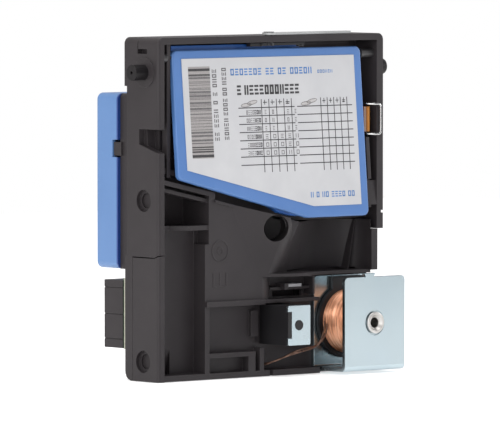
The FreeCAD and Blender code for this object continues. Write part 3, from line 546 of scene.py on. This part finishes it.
# table: ruled lines, two groups of narrow columns, entries and small heading marks
ROW_TOP = 80.5
ROW_PITCH = 2.44
ROW_FOOT = 2.0
ROWS = 7
NARROW_ROWS = 3
EMPTY_COLUMN = 2
RULE = 0.14
RULED_X = ((31.2, 53.4), (54.4, 76.4))
# first column and pitch
LEFT_COLUMNS = (40.3, 2.97)
RIGHT_COLUMNS = (63.9, 2.62)
COLUMNS = 5
COLUMN_Z = (61.1, 83.0)
LEFT_ENTRY_X = 41.4
# heading marks over the columns: a dash and a stroke for each, a second dash for the last
DASH_INSET = 0.7
DASH_Z = (81.9, 82.15)
STROKE_X = (1.2, 1.45)
STROKE_Z = (81.3, 82.8)
LAST_INSET = 0.8
LAST_Z = (81.4, 81.7)
table = bmesh.new()
columns = bmesh.new()
for i in range(ROWS + 1):
    row_z = ROW_TOP - ROW_PITCH * i
    for x0, x1 in RULED_X:
        print_quad(table, x0, x1, row_z - RULE, row_z + RULE)
for start, pitch in (LEFT_COLUMNS, RIGHT_COLUMNS):
    for i in range(COLUMNS):
        x = start + pitch * i
        print_quad(columns, x - RULE, x + RULE, *COLUMN_Z)
        if i < COLUMNS - 1:
            print_quad(table, x + DASH_INSET, x + pitch - DASH_INSET, *DASH_Z)
            print_quad(table, x + STROKE_X[0], x + STROKE_X[1], *STROKE_Z)
    print_quad(table, start + pitch * 3 + LAST_INSET, start + pitch * 4 - LAST_INSET, *LAST_Z)
entries = bmesh.new()
for i in range(ROWS - 1):
    low = ROW_TOP - ROW_PITCH * i - ROW_FOOT
    entry_cell = ENTRY_CELL_NARROW if i < NARROW_ROWS else ENTRY_CELL
    mark_line(entries, x0=34.2, x1=37.3, z=low, cell=ROW_NAME_CELL, gap=0.2, space=0.2)
    mark_line(table, x0=37.4, x1=40.1, z=low, cell=ROW_UNIT_CELL, gap=0.14, space=0.14)
    for column in range(COLUMNS):
        if column != EMPTY_COLUMN or i >= NARROW_ROWS:
            mark(entries, LEFT_ENTRY_X + LEFT_COLUMNS[1] * column, low, entry_cell)
add_piece("label_table", table, INK_BLACK, "deck")
add_piece("label_columns", columns, INK_BLACK, "deck")
add_piece("label_entries", entries, INK_GREY, "deck")

# two overlapping coins at the head of each half of the table
COIN_STARTS = (32.2, 55.9)
# offset from the start along x and z, and turn
COIN_PAIR = ((2.1, 0.85, 0.10), (4.5, 1.55, 0.20))
# the two radii and the width of the line
COIN_RIM = (2.1, 0.62, 0.16)
COIN_FACE = (1.9, 0.46, 0.40)
coins = bmesh.new()
discs = bmesh.new()
for start in COIN_STARTS:
    for dx, dz, turn in COIN_PAIR:
        print_ring(coins, start + dx, ROW_TOP + dz, *COIN_RIM, turn)
        print_ring(discs, start + dx, ROW_TOP + dz, *COIN_FACE, turn)
add_piece("label_coins", coins, INK_GREY, "deck")
add_piece("label_coin_tone", discs, INK_PALE, "deck")

# ---------------------------------------------------------------- coil winding
SOL_X = 76.6
SOL_Z = 15.2
COIL_Y = (-7.8, 2.4)
COIL_BORE_R = 3.9
COIL_CHEEK_R = 9.45
TURN_R = 9.62
TURN_RISE = 0.13
TURN_LOOSE = (-0.05, 0.03)
TURN_STEPS = 5
WIRE = 0.26
COIL_STEPS = 128


def turned_ring(bm, profile, steps):
    """Revolves a closed profile of (y, r) about the solenoid's axis."""
    rings = []
    for i in range(steps):
        angle = 2 * math.pi * i / steps
        rings.append([
            bm.verts.new(at(SOL_X + r * math.cos(angle), y, SOL_Z + r * math.sin(angle)))
            for y, r in profile
        ])
    size = len(profile)
    for i in range(steps):
        a, b = rings[i], rings[(i + 1) % steps]
        for k in range(size):
            m = (k + 1) % size
            bm.faces.new((a[k], a[m], b[m], b[k]))


turns = int((COIL_Y[1] - COIL_Y[0]) / WIRE)
pitch = (COIL_Y[1] - COIL_Y[0]) / turns
loose = [rng.uniform(*TURN_LOOSE) for i in range(turns)]
profile = []
for turn in range(turns):
    centre = COIL_Y[0] + pitch * (turn + 0.5)
    for step in range(TURN_STEPS):
        angle = math.pi * (step + 0.5) / TURN_STEPS
        radius = TURN_R + loose[turn] + TURN_RISE * math.sin(angle)
        profile.append((centre - pitch * 0.5 * math.cos(angle), radius))
profile += [(COIL_Y[1], COIL_CHEEK_R), (COIL_Y[1], COIL_BORE_R)]
profile += [(COIL_Y[0], COIL_BORE_R), (COIL_Y[0], COIL_CHEEK_R)]
coil = bmesh.new()
turned_ring(coil, profile, COIL_STEPS)
bmesh.ops.recalc_face_normals(coil, faces=coil.faces)
coil_piece = add_piece("coil_turns", coil, COPPER, "housing", smooth=True)
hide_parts("solenoid_winding")

# ---------------------------------------------------------------- film loop between the housing and the deck
SHARP_FROM = math.radians(35)
WELD = 0.001 * MM
film = bmesh.new()
film.from_mesh(NODES["sensor_ribbon"].data)
bmesh.ops.remove_doubles(film, verts=film.verts, dist=WELD)
film_piece = new_object("film_loop", film, AMBER, smooth=True)
film_piece.data.set_sharp_from_angle(angle=SHARP_FROM)
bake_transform(film_piece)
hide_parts("sensor_ribbon")

# ---------------------------------------------------------------- parts on the bare strip of the board
BOARD_REAR = 17.0
STRIP_TOP = 31.0
# TRACK, LEG, CHIP_BODY, RESISTOR_BODY and RESISTOR_END are heights off the board, low and high
TRACK = (0.005, 0.035)
LEG = (0.005, 0.55)
LEG_PITCH = 1.27
LEG_WIDE = 0.41
LEG_INSET = 0.43
LEG_REACH = (0.02, 1.0)
CHIP_BODY = (0.12, 1.6)
CHIP_DEEP = 3.9
# left and lower edge, and legs on each side
CHIPS = ((48.0, 15.5, 8), (66.0, 24.4, 4))
RESISTOR_BODY = (0.01, 0.50)
RESISTOR_BODY_X = (0.4, 1.6)
RESISTOR_END = (0.005, 0.52)
RESISTOR_ENDS_X = ((0.0, 0.38), (1.62, 2.0))
RESISTOR_DEEP = 1.25
# left and lower edge
RESISTORS = (
    (40.2, 14.0), (40.2, 16.4), (40.2, 18.8), (40.2, 24.0),
    (44.0, 27.0), (48.6, 27.0), (53.2, 27.0), (74.5, 12.2),
)


def on_board(bm, x0, x1, z0, z1, heights):
    """A block on the rear face of the board, between two heights in millimetres off it."""
    low, high = heights
    corners = [at(x, BOARD_REAR + low, z) for x, z in ((x0, z0), (x1, z0), (x1, z1), (x0, z1))]
    slab(bm, corners, Vector((0.0, (high - low) * MM, 0.0)))


def track_fan(bm, count, wide, start, corner, back, low, up):
    """Tracks that run across from start and turn up, each at a corner further back than the last."""
    for i in range(count):
        x = corner - back * i
        z = low + up * i
        on_board(bm, start, x, z, z + wide, TRACK)
        on_board(bm, x, x + wide, z, STRIP_TOP, TRACK)


tracks = bmesh.new()
chips = bmesh.new()
tinned = bmesh.new()
track_fan(tracks, count=5, wide=0.45, start=11.2, corner=36.0, back=2.3, low=13.4, up=1.9)
track_fan(tracks, count=4, wide=0.40, start=61.5, corner=80.0, back=2.2, low=15.2, up=2.0)
for left, low, legs in CHIPS:
    on_board(chips, left, left + LEG_PITCH * legs, low, low + CHIP_DEEP, CHIP_BODY)
    for i in range(legs):
        leg_x = left + LEG_PITCH * i + LEG_INSET
        high = low + CHIP_DEEP
        on_board(tinned, leg_x, leg_x + LEG_WIDE, low - LEG_REACH[1], low - LEG_REACH[0], LEG)
        on_board(tinned, leg_x, leg_x + LEG_WIDE, high + LEG_REACH[0], high + LEG_REACH[1], LEG)
for x, z in RESISTORS:
    on_board(chips, x + RESISTOR_BODY_X[0], x + RESISTOR_BODY_X[1], z, z + RESISTOR_DEEP, RESISTOR_BODY)
    for x0, x1 in RESISTOR_ENDS_X:
        on_board(tinned, x + x0, x + x1, z, z + RESISTOR_DEEP, RESISTOR_END)
add_piece("board_tracks", tracks, TRACK_GREEN, "housing")
add_piece("board_chips", chips, BLACK, "housing")
add_piece("board_tinned", tinned, TINNED, "housing")

# ---------------------------------------------------------------- stage
FLOOR_HALF = 0.8
FLOOR_Z = -0.0002
floor_mesh = bpy.data.meshes.new("floor")
corners = [(x * FLOOR_HALF, y * FLOOR_HALF, FLOOR_Z) for x, y in ((-1, -1), (1, -1), (1, 1), (-1, 1))]
floor_mesh.from_pydata(corners, [], [(0, 1, 2, 3)])
floor = bpy.data.objects.new("floor", floor_mesh)
bpy.context.scene.collection.objects.link(floor)
floor_mat, _, floor_bsdf = material("floor_pale")
floor_bsdf.inputs["Base Color"].default_value = (0.86, 0.86, 0.86, 1.0)
floor_bsdf.inputs["Roughness"].default_value = 0.8
floor_bsdf.inputs["Emission Color"].default_value = (1.0, 1.0, 1.0, 1.0)
floor_bsdf.inputs["Emission Strength"].default_value = 0.50
paint(floor, floor_mat)

# The studio is bright to the rear left and above and dimmer to the front right. What the camera
# sees behind the object is plain white.
STUDIO_LEAN = (-0.45, 0.62, 0.64)
STUDIO_TONES = [
    (0.0, (0.10, 0.10, 0.11)), (0.20, (0.18, 0.18, 0.20)),
    (0.45, (0.48, 0.47, 0.49)), (1.0, (0.75, 0.73, 0.71)),
]
world = bpy.data.worlds.new("studio")
world.use_nodes = True
sky = world.node_tree
direction = node(sky, "ShaderNodeTexCoord")
lean = node(sky, "ShaderNodeVectorMath", operation="DOT_PRODUCT")
link(sky, direction.outputs["Generated"], lean.inputs[0])
lean.inputs[1].default_value = STUDIO_LEAN
leaning = spread(sky, lean.outputs["Value"], low=0.0, high=1.0, from_low=-1.0, from_high=1.0)
studio = ramp(sky, leaning, STUDIO_TONES)
seen = node(sky, "ShaderNodeLightPath")
backdrop = tinted(sky, studio, (1.0, 1.0, 1.0), seen.outputs["Is Camera Ray"])
link(sky, backdrop, sky.nodes["Background"].inputs["Color"])
sky.nodes["Background"].inputs["Strength"].default_value = 1.0
bpy.context.scene.world = world
bpy.context.scene.view_settings.view_transform = "Standard"


def area_light(name, where, aim, size, power):
    data = bpy.data.lights.new(name, "AREA")
    data.shape = "RECTANGLE"
    data.size, data.size_y = size
    data.energy = power
    obj = bpy.data.objects.new(name, data)
    bpy.context.scene.collection.objects.link(obj)
    obj.location = where
    obj.rotation_euler = (Vector(aim) - Vector(where)).to_track_quat("-Z", "Y").to_euler()


area_light("key_left", where=(-0.62, -0.16, 0.38), aim=(0, 0, 0.05), size=(0.40, 0.40), power=1.7)
area_light("front_soft", where=(-0.58, -0.56, 0.10), aim=(0, 0, 0.04), size=(0.50, 0.36), power=1.3)
area_light("top_soft", where=(-0.05, -0.05, 0.75), aim=(0, 0, 0.05), size=(0.7, 0.5), power=3.4)
area_light("front_right", where=(0.62, -0.26, 0.22), aim=(0, 0, 0.04), size=(0.25, 0.25), power=1.5)

# ---------------------------------------------------------------- camera
SENSOR_WIDTH = 36.0
LENS = 558.72
CAMERA_DISTANCE = 2.255
AZIMUTH = math.radians(40.81)
ELEVATION = math.radians(2.85)
CAMERA_AIM = at(-4.0, -46.1, 52.2)
camera_data = bpy.data.cameras.new("camera")
camera_data.sensor_width = SENSOR_WIDTH
camera_data.lens = LENS
camera_data.clip_end = 50.0
camera = bpy.data.objects.new("camera", camera_data)
bpy.context.scene.collection.objects.link(camera)
look = Vector((
    math.sin(AZIMUTH) * math.cos(ELEVATION),
    math.cos(AZIMUTH) * math.cos(ELEVATION),
    -math.sin(ELEVATION),
))
camera.location = CAMERA_AIM - look * CAMERA_DISTANCE
camera.rotation_euler = look.to_track_quat("-Z", "Y").to_euler()
bpy.context.scene.camera = camera
